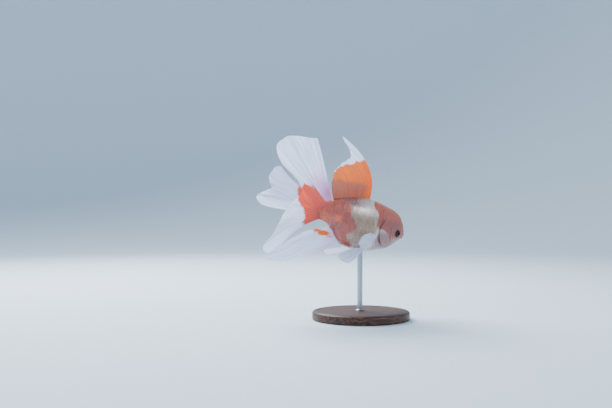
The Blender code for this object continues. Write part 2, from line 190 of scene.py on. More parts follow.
def relief(points, under_cover=False):
    """How far the finished skin stands out of the plain body in mm, and how much painted shade darkens it in
    creases, pits and hollows.

    Scales take the form that runs on under the gill covers."""
    x, y, z = points.T
    side = np.abs(y)
    flank = rise(side, 1, 4)
    out = 0.07 * np.sin(x * 0.9 + z * 0.5) * np.sin(z * 0.8 - x * 0.35 + y * 0.3)
    out += 0.018 * np.sin(x * 2.3 - z * 1.1 + y) * np.sin(z * 2.1 + x * 0.7) * rise(x, 56, 62)

    # gill cover: a plate with a free rear edge over a hollow, and the bones on and before it
    depth = oval(x, z, *GILL_COVER)
    free = np.maximum(fall(x, 64, 71) * fall(z, 4, 9),
                      0.65 * fall(z, -15.6, -9.6) * fall(x, 74, 82))
    plate = 0 if under_cover else rise(depth, -0.18, 0.22)
    out += free * (0.50 * plate * np.exp(-np.maximum(depth, 0) / 4.5) - 0.20 * hump(depth - 1.2, 0.45)
                   - 0.90 * (1 - plate) * hump(np.minimum(depth, 0), 2.4))
    # painted shade in the hollow under the free rear edge of the gill cover
    crease_shade = 0.45 * free * (1 - plate) * hump(np.minimum(depth + 0.3, 0), 0.8)
    bone = oval(x, z, *CHEEK_BONE)
    groove = flank * fall(x, 77, 80) * rise(z, -15.5, -10) * fall(z, 0.5, 5.5)
    out += groove * (0.18 * hump(bone - 1.1, 0.7) - 0.42 * hump(bone, 0.42))
    # painted shade in the groove round the cheek bone
    crease_shade += 0.35 * groove * hump(bone, 0.42)
    for start, end, height, width, crease_shade_amount in HEAD_LINES:
        line = flank * hump(to_line(x, z, start, end), width)
        out += height * line
        # painted shade along a line, as much as its darkness says
        crease_shade += crease_shade_amount * line
    orbit = np.hypot(x - EYE_CENTRE[0], z - EYE_CENTRE[2]) - EYE_RADIUS
    out += flank * fall(z, -4, 0) * (0.10 * hump(orbit - 1.7, 0.8) - 0.20 * hump(orbit - 2.9, 0.45))

    # mouth: two full lips with a slit between them, the fold behind its corner, and the chin
    slit = z + 3.7 + 0.42 * (90.5 - x)
    mouth = rise(x, 85.8, 87.6) * (1 - rise(side, 3.8, 5.2))
    out += mouth * (sum(height * hump(slit - place, width) for place, height, width in LIPS) - LIPS_BACK)
    fold = to_line(x, z, *MOUTH_FOLD)
    fading = flank * rise(z, -10.6, -6.6)
    out += fading * (0.24 * hump(fold - 1, 0.7) - 0.38 * hump(fold, 0.45))
    # painted shade in the slit of the mouth and in the fold behind its corner
    crease_shade += mouth * hump(slit, 0.34) + 0.45 * fading * hump(fold, 0.4)
    chin = fall(z, -12, -7) * rise(x, 64, 68) * fall(x, 82, 85)
    out -= 0.28 * hump(side - 0.20 * (86 - x), 0.6) * chin

    # nostrils: two pits on each side with a raised flap between them
    for at, angle, radius, pit_depth in NOSTRILS:
        for hand in (-1, 1):
            pit = body_surface(np.array([at]), np.array([math.radians(hand * angle)]))[0]
            gap = np.linalg.norm(points - pit, axis=1)
            out += 0.16 * hump(gap - radius * 2, 0.36) - pit_depth * hump(gap, radius)
            # painted shade in each nostril pit
            crease_shade += 1.2 * hump(gap, radius * 0.95)

    # eye: the skin rises in a lip round the ball, and falls away behind it
    for hand in (-1, 1):
        flip = np.array((1, hand, 1))
        axis = EYE_AXIS * flip / np.linalg.norm(EYE_AXIS)
        ring = np.linalg.norm(np.cross(points - EYE_CENTRE * flip, axis), axis=1) - EYE_RADIUS
        ring = np.where(y * hand > 0, ring, 99)
        out = out * rise(ring, -0.4, 1.2) + 0.50 * hump(ring - 0.22, 0.42) - 2.8 * fall(ring, -0.55, -0.22)
        out -= 0.18 * hump(ring - 1.35, 0.5)
        # painted shade where the skin meets the eyeball, and in the furrow round the lip
        crease_shade = crease_shade * rise(ring, 0, 1) + 0.9 * fall(ring, -0.4, 0.05)
        crease_shade += 0.25 * hump(ring - 1.35, 0.45)

    # flesh at the roots of the paired fins and along the root of the dorsal fin
    for centre, reach, height in FIN_FLESH:
        out += height * hump(np.linalg.norm(np.stack((x, side, z), axis=1) - centre, axis=1), reach)
    out += 0.35 * hump(side, 1.6) * rise(z, 8, 11) * rise(x, 12, 16) * fall(x, 45, 49)

    # the tail stem thins to a wedge between the two halves of the tail
    half = smooth_value(BODY_STATIONS, 3, x)
    out -= 0.78 * fall(x, -3, 11) * half * np.clip(side / half, 0, 1) ** 2
    return out, np.clip(crease_shade, 0, 1)


# ---- markings

# the lower edge of the red cap on the head: x, z
CAP_LINE = ((52, -0.5), (56, -1.8), (64, -4.2), (71.5, -9), (78, -8.2), (84, -6.6), (92, -4.9))
# ovals in the side view: centre, radii, tilt in degrees
ROOT_PATCH = ((-4, 0), (19, 17))
NEAR_PATCHES = (((17, 8.2), (11.5, 6.4), 4), ((20, -9), (12.5, 15.5), -26),
                ((28, -24.2), (9, 4.6), -8))
FAR_PATCHES = (((16, 8), (10, 4.6), 10), ((24, -13), (9, 12), 15),
               ((43, 9), (6.5, 5), 20))
PATCH_SOFTNESS = 0.5         # below 1, the patches on the flanks fade out wider than the other reds
ORANGE_SPOT = ((17.6, -2), (4.2, 3.2), 50)
ANAL_STREAK = ((9.2, -19), (7, 2.3), -6)
# outlines of red on the fins, each a line through a few points
DORSAL_LINE = ((4, 33), (6.4, 36.6), (11.6, 44.3), (20.6, 48.3), (31, 54.4), (40, 59))   # x, z
TAIL_TOP_LINE = ((-24, 19.2), (-14.7, 19.3), (-7.5, 16.4), (1.7, 10.6), (10.7, 11.4), (14, 12))   # x, z
TAIL_REAR_LINE = ((-14, -13.4), (-2, -15.8), (1.6, -20.8), (3.3, -24.6), (8.6, -26.1),
                  (15.1, -25.5), (20, -22))   # z, x
NO_RED = -20                 # mm inside the red, for a fin that is white all over


def columns(*values):
    """Numbers and rows of numbers side by side, as the columns of one table."""
    return np.stack(np.broadcast_arrays(*values), axis=1)


def flank_red(x, z, cap_drop, patches):
    """Depth in mm inside the red of one flank: tail root, cap of the head and the patches between."""
    cap = np.minimum(z - line_value(CAP_LINE, x) + cap_drop, x - 54 + 0.25 * np.maximum(z - 6, 0))
    root = np.minimum(oval(x, z, *ROOT_PATCH), 12.6 + 0.1 * (12 - x) - z + 6 * fall(x, -2, 6))
    red = np.maximum(cap, root)
    for patch in patches:
        red = np.maximum(red, PATCH_SOFTNESS * oval(x, z, *patch))
    return red


def body_markings(points):
    """For skin and scales alike: depth inside the red in mm, how deep the red is (partly painted shade), and
    the white's tone.

    The tone is 1 where painted shade darkens the white to olive grey, and -1 where the white takes a pink
    blush, which on the lower head is painted shade."""
    x, y, z = points.T
    x = x + 1.3 * np.sin(z * 0.42 + 1) * rise(x, 14, 24) * fall(x, 56, 64)
    far = rise(y, -4, 4)
    red = flank_red(x, z, 0, NEAR_PATCHES) * (1 - far) + flank_red(x, z, 1.5, FAR_PATCHES) * far
    deep = 0.20 + 0.38 * rise(x, 0, 15)
    # painted shade: the red of the lower rear flank deepens to brown-red
    deep += 0.28 * rise(x, 6, 17) * fall(z, -4, 9) * fall(x, 38, 46)
    deep += rise(x, 44, 56) * (0.30 - 0.45 * rise(z, 4, 13) - 0.55 * rise(x, 86.5, 89.5))
    deep -= 0.9 * rise(oval(x, z, *ORANGE_SPOT), -1, 2)
    fore = rise(x, 50, 60)
    # painted shade: the white of the mid flank below the back darkens to olive grey, less so low on the belly
    dusky = fall(z, 2, 15) * rise(x, 12, 26) * (1 - 0.3 * fall(z, -22, -10)) * (1 - fore)
    # a pink blush along the back behind the dorsal fin, and on the lower head a painted shade of pinkish brown
    blush = rise(z, 9, 13) * fall(x, 30, 50) + fall(z, -8, 0) * fore
    return columns(red, np.clip(deep, 0, 1), np.clip(dusky, 0, 1) - np.clip(blush, 0, 1))


# The markings of a fin have a fourth column, how ragged the edge of the red is in mm.

def dorsal_markings(points):
    """Orange up to a ragged line, white beyond, and brown near the back except along the front edge."""
    x, _, z = points.T
    red = np.minimum(line_value(DORSAL_LINE, x) - z, x - 3)
    front = 47 - 0.04 * (z - 20)
    brown = rise(30.5 - z + 0.08 * x, -2.2, 2.6) * (1 - 0.8 * rise(x - front, -8, -2))
    return columns(red, 0.08 + 0.80 * brown, 0, 0.8)


def tail_markings(points, shorter):
    """Red at the root, white beyond, with a lilac blush along the top of the root that is partly painted
    shade.
    """
    x, _, z = points.T
    red = np.minimum(x - shorter - line_value(TAIL_REAR_LINE, z), line_value(TAIL_TOP_LINE, x) - z)
    lilac_blush_and_shade = hump(x - 5, 9) * hump(z - 17, 10) + 0.45 * hump(x + 8, 10) * hump(z - 24, 9)
    return columns(red, 0.15 + 0.65 * rise(x + 0.25 * z, -20, 2), -lilac_blush_and_shade, 0.6 + 0.8 * fall(z, -3, 3))


def anal_markings(points):
    """White, with a small orange streak on the upper side of the root."""
    x, _, z = points.T
    return columns(oval(x, z, *ANAL_STREAK), 0, -0.15 * hump(x - 15, 8), 0.35)


def pale_markings(points):
    """White all over, very faintly tinged."""
    return columns(np.full(len(points), NO_RED), 0, -0.05, 0)


# ---- materials

# Body colours: the deep red is partly painted shade, standing for the red of the lower rear flank in shade;
# the second white is a painted shade of olive grey for the mid flank; the blush is a pink tint that is painted
# shade on the lower head.
BODY_PALETTE = dict(red="#DE674A", deep="#92544E", white="#D8CBBE", dusky="#A58771", blush="#96706F")
RED_FIN_PALETTE = dict(red="#EF6D52", deep="#DA7A70", white="#ECF0FF", dusky="#ECF0FF", blush="#D99ACB")
ORANGE_FIN_PALETTE = dict(RED_FIN_PALETTE, red="#F5852C", deep="#BE7661")


def srgb(code):
    """An sRGB hex colour as linear RGBA."""
    channels = [int(code[k:k + 2], 16) / 255 for k in (1, 3, 5)]
    return tuple(c / 12.92 if c <= 0.04045 else ((c + 0.055) / 1.055) ** 2.4 for c in channels) + (1,)


def add_node(tree, kind, links=(), values=(), stops=(), **settings):
    """Add one shader node and give its outputs.

    links feed its inputs from sockets, values fill them, stops are the places and hex colours of a
    colour ramp, and settings are its own properties."""
    made = tree.nodes.new("ShaderNode" + kind)
    for key, value in settings.items():
        setattr(made, key, value)
    for key, value in dict(values).items():
        made.inputs[key].default_value = value
    for key, socket in dict(links).items():
        tree.links.new(socket, made.inputs[key])
    if stops:
        marks = made.color_ramp.elements
        while len(marks) < len(stops):
            marks.new(0.5)
        for mark, (at, code) in zip(marks, stops):
            mark.position = at
            mark.color = srgb(code)
    return made.outputs


def material(name, surface, *facts):
    """A material from a function that adds its nodes and gives its surface."""
    made = bpy.data.materials.new(name)
    made.use_nodes = True
    made.node_tree.nodes.clear()
    add = functools.partial(add_node, made.node_tree)
    add("OutputMaterial", {"Surface": surface(add, *facts)})
    return made


def waves(size):
    """The noise scale, on Object coordinates in metres, that gives features of a size in mm."""
    return 1000 / size


def drifting(add, place, size, low, high, detail=3, reach=0.2):
    """A number that drifts between low and high over features of a size in mm."""
    cloud = add("TexNoise", {"Vector": place}, {"Scale": waves(size), "Detail": detail})
    drift = add("MapRange", {"Value": cloud["Fac"]},
                {"From Min": 0.5 - reach, "From Max": 0.5 + reach, "To Min": low, "To Max": high})
    return drift["Result"]


def mottled(add, colour, place, sizes, spread):
    """A colour varied in brightness over features of the given sizes in mm."""
    for size in sizes:
        tone = drifting(add, place, size, 1 - spread, 1 + spread)
        colour = add("VectorMath", {0: colour, "Scale": tone}, operation="SCALE")[0]
    return colour


def pigment(add, palette, ragged, soft):
    """The red and white of the fish as one colour socket, with the red's share and the place beside it.

    ragged and soft are the unevenness and the blur of the red's edge in mm."""
    place = add("TexCoord")["Object"]
    marks = add("Attribute", attribute_name="markings")["Vector"]
    marks = add("SeparateXYZ", {0: marks})
    uneven = drifting(add, place, 3.8, -ragged, ragged, reach=0.25)
    edge = add("Math", {0: marks["X"], 1: uneven})
    share = add("MapRange", {"Value": edge[0]}, {"From Min": -soft, "From Max": soft},
                interpolation_type="SMOOTHSTEP")["Result"]
    drift = drifting(add, place, 8, -0.16, 0.16, detail=4)
    depth = add("Math", {0: marks["Y"], 1: drift}, use_clamp=True)
    red = add("Mix", {"Factor": depth[0]}, {6: srgb(palette["red"]), 7: srgb(palette["deep"])},
              data_type="RGBA")
    # the white, darkened to olive grey by painted shade where the tone is above 0
    dusky = add("Mix", {"Factor": marks["Z"]}, {6: srgb(palette["white"]), 7: srgb(palette["dusky"])},
                data_type="RGBA")
    # then the pink blush, which is partly painted shade, where the tone is below 0
    blush_and_shade_share = add("Math", {0: marks["Z"]}, {1: -1}, operation="MULTIPLY")
    white = add("Mix", {"Factor": blush_and_shade_share[0], 6: dusky[2]}, {7: srgb(palette["blush"])}, data_type="RGBA")
    both = add("Mix", {"Factor": share, 6: white[2], 7: red[2]}, data_type="RGBA")
    return both[2], share, place


def fish_skin(add):
    """Fish skin under a film of mucus: finely pitted, pearly where it is white, and wet."""
    colour, share, place = pigment(add, BODY_PALETTE, 1, 0.9)
    colour = mottled(add, colour, place, (2.6, 0.7), 0.08)
    # painted shade: the skin darkens in its creases, pits and hollows
    crease_shade = add("Attribute", attribute_name="crease_shade")["Fac"]
    shadow = add("MapRange", {"Value": crease_shade}, {"To Min": 1, "To Max": 0.3})
    colour = add("VectorMath", {0: colour, "Scale": shadow[0]}, operation="SCALE")
    grain = add("TexNoise", {"Vector": place}, {"Scale": waves(0.45), "Detail": 3})
    pores = add("TexVoronoi", {"Vector": place}, {"Scale": waves(0.9)})
    dimple = add("MapRange", {"Value": pores["Distance"]}, {"From Min": 0, "From Max": 0.4})
    height = add("Math", {0: grain["Fac"], 1: dimple["Result"]})
    fine = add("Bump", {"Height": height[0]}, {"Strength": 0.35, "Distance": 0.08 * MM})
    swell = add("TexNoise", {"Vector": place}, {"Scale": waves(2.4), "Detail": 2})
    bump = add("Bump", {"Height": swell["Fac"], "Normal": fine["Normal"]},
               {"Strength": 0.2, "Distance": 0.5 * MM})
    pearl = add("MapRange", {"Value": share}, {"To Min": 0.38, "To Max": 0.12})
    shader = add("BsdfPrincipled",
                 {"Base Color": colour[0], "Normal": bump["Normal"], "Metallic": pearl[0]},
                 {"Roughness": 0.36, "IOR": 1.4, "Coat Weight": 0.4, "Coat Roughness": 0.16})
    return shader[0]


def bony_scale(add):
    """Thin bony scale over silvery guanine: pearly, with a painted sheen past its middle, painted shade at its
    covered root and free edge, and faint growth rings.
    """
    colour, share, place = pigment(add, BODY_PALETTE, 0.9, 0.5)
    colour = mottled(add, colour, place, (1.1,), 0.07)
    # on the scale itself: from its root to its free edge, across it, and a chance number of its own
    spot = add("Attribute", attribute_name="scale_place")["Vector"]
    own = add("SeparateXYZ", {0: spot})
    tone = add("MapRange", {"Value": own["Z"]}, {"To Min": 0.91, "To Max": 1.09})
    # painted light on each scale: painted shade at the root under the scale before it and at the free edge,
    # and a painted sheen past the middle
    ramp = add("ValToRGB", {"Fac": own["X"]},
               stops=((0.40, "#C2C2C2"), (0.72, "#F4F4F4"), (0.90, "#FFFFFF"), (0.97, "#EDEDED"),
                      (1, "#CCCCCC")))
    painted_sheen_and_shade = add("VectorMath", {0: ramp["Color"], "Scale": tone["Result"]}, operation="SCALE")
    bright = add("VectorMath", {0: colour, 1: painted_sheen_and_shade[0]}, operation="MULTIPLY")
    tinted = add("VectorMath", {0: bright[0]}, {"Scale": 1.22}, operation="SCALE")
    rings = add("TexWave", {"Vector": spot}, {"Scale": 8, "Distortion": 0.8, "Detail": 1},
                wave_type="RINGS", rings_direction="Z")
    bump = add("Bump", {"Height": rings["Fac"]}, {"Strength": 0.22, "Distance": 0.03 * MM})
    rough = add("MapRange", {"Value": own["Z"]}, {"To Min": 0.22, "To Max": 0.40})
    pearl = add("MapRange", {"Value": share}, {"To Min": 0.36, "To Max": 0.22})
    shader = add("BsdfPrincipled",
                 {"Base Color": tinted[0], "Normal": bump["Normal"], "Roughness": rough[0],
                  "Metallic": pearl[0]},
                 {"IOR": 1.4, "Coat Weight": 0.25, "Coat Roughness": 0.15})
    return shader[0]


def fin_membrane(add, palette):
    """Clear fin membrane on bony rays: milky, glowing where light comes through, denser on the rays."""
    # on the fin itself: across it, from its root to its rim, and how far up on a ray
    spot = add("Attribute", attribute_name="fin_place")["Vector"]
    own = add("SeparateXYZ", {0: spot})
    colour = pigment(add, palette, 0.8, 1.1)[0]
    stretched = add("Mapping", {"Vector": spot}, {"Scale": (30, 1.1, 0)})
    streak = add("TexNoise", {"Vector": stretched[0]}, {"Scale": 1.6, "Detail": 5})
    light = add("MapRange", {"Value": streak["Fac"]},
                {"From Min": 0.3, "From Max": 0.7, "To Min": 0.86, "To Max": 1.12})
    tinted = add("VectorMath", {0: colour, "Scale": light["Result"]}, operation="SCALE")
    shader = add("BsdfPrincipled", {"Base Color": tinted[0]},
                 {"Roughness": 0.42, "IOR": 1.4, "Coat Weight": 0.2, "Coat Roughness": 0.15})
    through = add("BsdfTranslucent", {"Color": tinted[0]})
    lit = add("MixShader", {1: shader[0], 2: through[0]}, {"Fac": 0.5})
    thin = add("MapRange", {"Value": own["Y"]},
               {"From Min": 0.1, "From Max": 1, "To Min": 0.98, "To Max": 0.66})
    rays = add("Math", {0: own["Z"]}, {1: 0.22}, operation="MULTIPLY")
    cover = add("Math", {0: thin["Result"], 1: rays[0]}, use_clamp=True)
    clear = add("BsdfTransparent")
    mixed = add("MixShader", {0: cover[0], 1: clear[0], 2: lit[0]})
    return mixed[0]


def wet_eyeball(add):
    """A wet eyeball: black pupil, thin gold ring and a dark bronze iris."""
    ring = add("Attribute", attribute_name="from_pupil")["Fac"]
    place = add("TexCoord")["Object"]
    shift = drifting(add, place, 0.45, -0.03, 0.03, reach=0.5)
    at = add("Math", {0: ring, 1: shift})
    ramp = add("ValToRGB", {"Fac": at[0]},
               stops=((0, "#030204"), (0.52, "#030204"), (0.55, "#8A5A28"), (0.585, "#5E3A22"),
                      (0.68, "#2C1A18"), (0.86, "#46282A"), (1, "#1A0F12")))
    shader = add("BsdfPrincipled", {"Base Color": ramp["Color"]},
                 {"Roughness": 0.30, "IOR": 1.2, "Coat Weight": 0.5, "Coat IOR": 1.36,
                  "Coat Roughness": 0.03})
    return shader[0]


def stained_beech(add):
    """Dark stained beech with a satin lacquer: fine straight grain and short pores."""
    place = add("TexCoord")["Object"]
    along = add("Mapping", {"Vector": place}, {"Scale": (waves(25), waves(1.7), waves(1.7))})
    grain = add("TexNoise", {"Vector": along[0]}, {"Scale": 1, "Detail": 6, "Distortion": 0.3})
    short = add("Mapping", {"Vector": place}, {"Scale": (waves(3.8), waves(0.38), waves(0.38))})
    pores = add("TexNoise", {"Vector": short[0]}, {"Scale": 1, "Detail": 2})
    ramp = add("ValToRGB", {"Fac": grain["Fac"]},
               stops=((0.34, "#26170F"), (0.50, "#4A2B1B"), (0.66, "#6B452C")))
    dark = add("MapRange", {"Value": pores["Fac"]},
               {"From Min": 0.58, "From Max": 0.66, "To Min": 1, "To Max": 0.55})
    tinted = add("VectorMath", {0: ramp["Color"], "Scale": dark["Result"]}, operation="SCALE")
    bump = add("Bump", {"Height": dark["Result"]}, {"Strength": 0.3, "Distance": 0.1 * MM})
    shader = add("BsdfPrincipled", {"Base Color": tinted[0], "Normal": bump["Normal"]},
                 {"Roughness": 0.50, "IOR": 1.4, "Coat Weight": 0.12, "Coat Roughness": 0.3})
    return shader[0]


def brushed_steel(add):
    """Brushed stainless steel rod: fine lines round the rod blur its reflections."""
    place = add("TexCoord")["Object"]
    lines = add("Mapping", {"Vector": place}, {"Scale": (waves(17), waves(17), waves(0.19))})
    brush = add("TexNoise", {"Vector": lines[0]}, {"Scale": 1, "Detail": 3})
    rough = add("MapRange", {"Value": brush["Fac"]}, {"To Min": 0.20, "To Max": 0.42})
    bump = add("Bump", {"Height": brush["Fac"]}, {"Strength": 0.15, "Distance": 0.05 * MM})
    shader = add("BsdfPrincipled", {"Roughness": rough["Result"], "Normal": bump["Normal"]},
                 {"Base Color": srgb("#A9ADB3"), "Metallic": 1})
    return shader[0]


def studio_paper(add):
    """Plain matt studio paper."""
    shader = add("BsdfPrincipled", (), {"Base Color": srgb("#CFDDE7"), "Roughness": 0.9})
    return shader[0]


# ---- mesh helpers

def only(piece):
    """Select one object alone."""
    bpy.ops.object.select_all(action="DESELECT")
    piece.select_set(True)
    bpy.context.view_layer.objects.active = piece


def in_edit_mode(piece, *steps):
    """Run edit-mode steps on the whole of one piece."""
    only(piece)
    bpy.ops.object.mode_set(mode="EDIT")
    bpy.ops.mesh.select_all(action="SELECT")
    for step in steps:
        step()
    bpy.ops.object.mode_set(mode="OBJECT")


def face_outward():
    """In edit mode, turn the selected faces outward."""
    bpy.ops.mesh.normals_make_consistent(inside=False)


def primitive(make, name, finish, **size):
    """A new primitive with its name and material, to be shaped."""
    bpy.ops.object.select_all(action="DESELECT")
    make(**size)
    piece = bpy.context.object
    piece.name = piece.data.name = name
    piece.data.materials.append(finish)
    return piece


def in_scene(name, data):
    """A new object for a mesh, light or camera."""
    made = bpy.data.objects.new(name, data)
    bpy.context.scene.collection.objects.link(made)
    return made


def read_vectors(items, name):
    """One vector of each vertex, as a table."""
    flat = np.empty(len(items) * 3)
    items.foreach_get(name, flat)
    return flat.reshape(-1, 3)


def write_points(mesh, points):
    """Set a mesh's vertex coordinates."""
    mesh.vertices.foreach_set("co", np.ascontiguousarray(points, dtype=np.float32).ravel())
    mesh.update()


def write_attribute(mesh, name, values):
    """Store a number or a vector on each vertex."""
    kind, field = ("FLOAT_VECTOR", "vector") if values.ndim == 2 else ("FLOAT", "value")
    layer = mesh.attributes.new(name, kind, "POINT")
    layer.data.foreach_set(field, np.ascontiguousarray(values, dtype=np.float32).ravel())


# ---- skin

SKIN_ROUND = 240
SKIN_RINGS = 270
# The rings crowd together on the head: share of the rings, and x at the end of each run.
SKIN_RUNS = ((0.16, 86.8), (0.58, 57), (0.94, 0), (1, TAIL_END))


def ring_x(share):
    """Where along the body a share of the skin's rings has been used, from snout to tail."""
    cap_share = SKIN_RUNS[0][0]
    cap = np.clip(share / cap_share, 0, 1) * math.pi / 2
    on_cap = SNOUT_END - SNOUT_CAP * (1 - np.cos(cap))
    return np.where(share < cap_share, on_cap, line_value(SKIN_RUNS, share))


def make_skin(finish):
    """The whole body in one piece, from the lips to the root of the tail."""
    piece = primitive(bpy.ops.mesh.primitive_uv_sphere_add, "skin", finish,
                      segments=SKIN_ROUND, ring_count=SKIN_RINGS, radius=1)
    mesh = piece.data
    ball = read_vectors(mesh.vertices, "co")
    share = np.arccos(np.clip(ball[:, 2], -1, 1)) / math.pi
    points = body_surface(ring_x(share), np.arctan2(ball[:, 1], ball[:, 0]), -SKIN_INSET)
    write_points(mesh, points)
    normals = read_vectors(mesh.vertices, "normal")
    if np.mean(np.sum(normals * (points - DEEP_INSIDE), axis=1)) < 0:
        normals = -normals
    height, crease_shade = relief(points)
    points = points + normals * height[:, None]
    write_attribute(mesh, "markings", body_markings(points))
    write_attribute(mesh, "crease_shade", crease_shade)
    write_points(mesh, to_world(points))
    in_edit_mode(piece, face_outward)
    bpy.ops.object.shade_smooth()
    return piece


# ---- scales

SCALE_ROWS = 40              # rows round the body
LINE_ROW = 9                 # the row of scales that carries the lateral line
LINE_END = 4                 # x where the lateral line's pores stop
SCALE_PITCH = ((0, 1.55), (15, 2.1), (30, 2.5), (46, 2.4), (62, 1.85))   # x, exposed length
COAT_FRONT = 62.6            # x of the first roots
COAT_REAR = 1                # x of the last roots on the flanks
COAT_REAR_CURVE = 5          # how much sooner the coat ends on back and belly
UNDER_COVER = 0.5            # how far the coat runs on under the gill cover
NAPE_X = 62.4                # x where the coat ends above the gill cover
NAPE_LEAN = 0.10             # how far that edge leans back for each mm of height
TAIL_CLEAR = 0.35            # how near a scale may come to the end of the stem
WIDEST_AT = 42               # x of the deepest section
# One scale: rows from root to free edge, their widths, and places across.
SCALE_LONG = np.array((0, 0.3, 0.6, 0.82, 0.95, 1))
SCALE_WIDE = np.array((0.60, 0.90, 1, 1, 1, 1))
SCALE_CROSS = np.array((-1, -0.8, -0.45, 0, 0.45, 0.8, 1))
SCALE_ROUND = 0.50           # how far the free edge falls back at its ends
SCALE_THICKNESS = 0.08
SCALE_OVERLAP = 2.05         # length over exposed length
SCALE_SPREAD = 1.16          # half width over the step between rows
SCALE_LIFT = 0.33            # height of the free edge
SCALE_DOME = 0.10
ROOT_SUNK = 0.14
# The pored scales carry a tube: its start and length as shares of the scale, half width, lift, dome, height.
TUBE_START, TUBE_LONG, TUBE_WIDE, TUBE_LIFT, TUBE_DOME, TUBE_RAISED = 0.52, 0.42, 0.30, 0.14, 0.22, 0.10
OWN_MIDDLE = 0.55            # share of a scale's marking that comes from its middle
UNWRAP_FRONT = 64            # x at the start of the unwrap of the coat
UNWRAP_LENGTH = 68
UNWRAP_MARGIN = 0.02
UNWRAP_PATCH = 0.003         # size of one scale on it


def section_angles(count):
    """Angles that part the deepest section of the body into equal steps."""
    fine = np.linspace(0, TURN, 2001)
    ring = body_surface(np.full_like(fine, WIDEST_AT), fine)
    run = np.concatenate(((0,), np.cumsum(np.linalg.norm(np.diff(ring, axis=0), axis=1))))
    return np.interp(np.arange(count) / count * run[-1], run, fine)


def scale_seats(angles):
    """Where every scale is rooted: x, angle and row. Every second row is set back by half a step."""
    seats = []
    x, half_step = COAT_FRONT, 0
    while x > COAT_REAR:
        seats += [(x, angle, row) for row, angle in enumerate(angles) if row % 2 == half_step % 2]
        x -= line_value(SCALE_PITCH, x) / 2
        half_step += 1
    seats = np.array(seats)
    spots = body_surface(seats[:, 0], seats[:, 1])
    px, pz = spots[:, 0], spots[:, 2]
    keep = (oval(px, pz, *GILL_COVER) < UNDER_COVER) & (px < NAPE_X - NAPE_LEAN * np.maximum(pz, 0))
    keep &= seats[:, 0] > COAT_REAR + COAT_REAR_CURVE * np.cos(seats[:, 1]) ** 2
    return seats[keep]


def scale_vertices(seats, long_size, wide_size, lift, dome, twist, sunk):
    """Vertices of every scale, laid on the body: the upper face, then the lower rim."""
    x0, a0 = seats[:, 0], seats[:, 1]
    mid = x0 - long_size / 2
    u, v = (grid.ravel() for grid in np.meshgrid(SCALE_LONG, SCALE_CROSS, indexing="ij"))
    wide = np.repeat(SCALE_WIDE, len(SCALE_CROSS))
    rim = np.array(rim_order(len(SCALE_LONG), len(SCALE_CROSS)))
    u, v, wide = (np.concatenate((upper, upper[rim])) for upper in (u, v, wide))
    below = np.concatenate((np.zeros(len(u) - len(rim)), np.full(len(rim), SCALE_THICKNESS)))
    reach = u * (1 - SCALE_ROUND * (1 - np.sqrt(1 - 0.9 * v ** 2)))
    back = long_size[:, None] * reach
    cross = wide_size[:, None] * v * wide
    c, s = np.cos(twist)[:, None], np.sin(twist)[:, None]
    back, cross = back * c - cross * s, cross * c + back * s
    x = np.maximum(x0[:, None] - back / stretch(mid, a0, PROBE, 0)[:, None], TAIL_END + TAIL_CLEAR)
    angle = a0[:, None] + cross / stretch(mid, a0, 0, PROBE)[:, None]
    domed = dome * (1 - v ** 2) * np.sin(math.pi * np.minimum(u, 0.85))
    height = lift[:, None] * reach - sunk - below + domed
    flat_x, flat_angle = x.ravel(), angle.ravel()
    base = body_surface(flat_x, flat_angle, -SKIN_INSET)
    out = relief(base, under_cover=True)[0] + height.ravel()
    return normal_offset(flat_x, flat_angle, base, out).reshape(*x.shape, 3), u, v


def normal_offset(x, angle, base, distance):
    """Points a distance out from the body along its own normal."""
    normal = np.cross(surface_step(x, angle, 2 * PROBE, 0, -SKIN_INSET),
                      surface_step(x, angle, 0, 2 * PROBE, -SKIN_INSET))
    normal /= np.linalg.norm(normal, axis=1)[:, None] + 1e-9
    outward = np.sign(np.sum((normal * (base - DEEP_INSIDE))[:, 1:], axis=1))
    return base + normal * (outward * distance)[:, None]


def rim_order(rows, cross):
    """Vertices round the edge of a grid of rows by cross."""
    rim = list(range(cross))
    rim += [r * cross + cross - 1 for r in range(1, rows)]
    rim += [(rows - 1) * cross + c for c in range(cross - 2, -1, -1)]
    return rim + [r * cross for r in range(rows - 2, 0, -1)]


def plate_faces(rows, cross):
    """Faces of one closed thin plate: a grid above, a wall round it and a few wide faces below."""
    corners = [r * cross + c for r in range(rows - 1) for c in range(cross - 1)]
    faces = [(a, a + 1, a + cross + 1, a + cross) for a in corners]
    rim = rim_order(rows, cross)
    lower = {top: rows * cross + k for k, top in enumerate(rim)}
    faces += [(b, a, lower[a], lower[b]) for a, b in zip(rim, rim[1:] + rim[:1])]
    left = [lower[r * cross] for r in range(rows)]
    right = [lower[r * cross + cross - 1] for r in range(rows)]
    front = [lower[c] for c in range(cross)]
    back = [lower[(rows - 1) * cross + c] for c in range(cross)]
    faces.append((*reversed(front), left[1], right[1]))
    faces += [(left[r], left[r + 1], right[r + 1], right[r]) for r in range(1, rows - 2)]
    faces.append((left[rows - 2], *back, right[rows - 2]))
    return faces


def unwrap_scales(mesh, seats, place):
    """Each scale is a small patch at its root's place on an unwrap of body length by turn."""
    root = columns((UNWRAP_FRONT - seats[:, 0]) / UNWRAP_LENGTH, seats[:, 1] % TURN / TURN)
    root = UNWRAP_MARGIN + (1 - 2 * UNWRAP_MARGIN) * root
    spread = UNWRAP_PATCH * columns(place[:, 0] - 0.5, place[:, 1] * 0.5)
    at = np.repeat(root, len(place) // len(seats), axis=0) + spread
    loops = np.empty(len(mesh.loops), dtype=np.int32)
    mesh.loops.foreach_get("vertex_index", loops)
    layer = mesh.uv_layers.new(name="OFBake")
    layer.data.foreach_set("uv", at[loops].astype(np.float32).ravel())


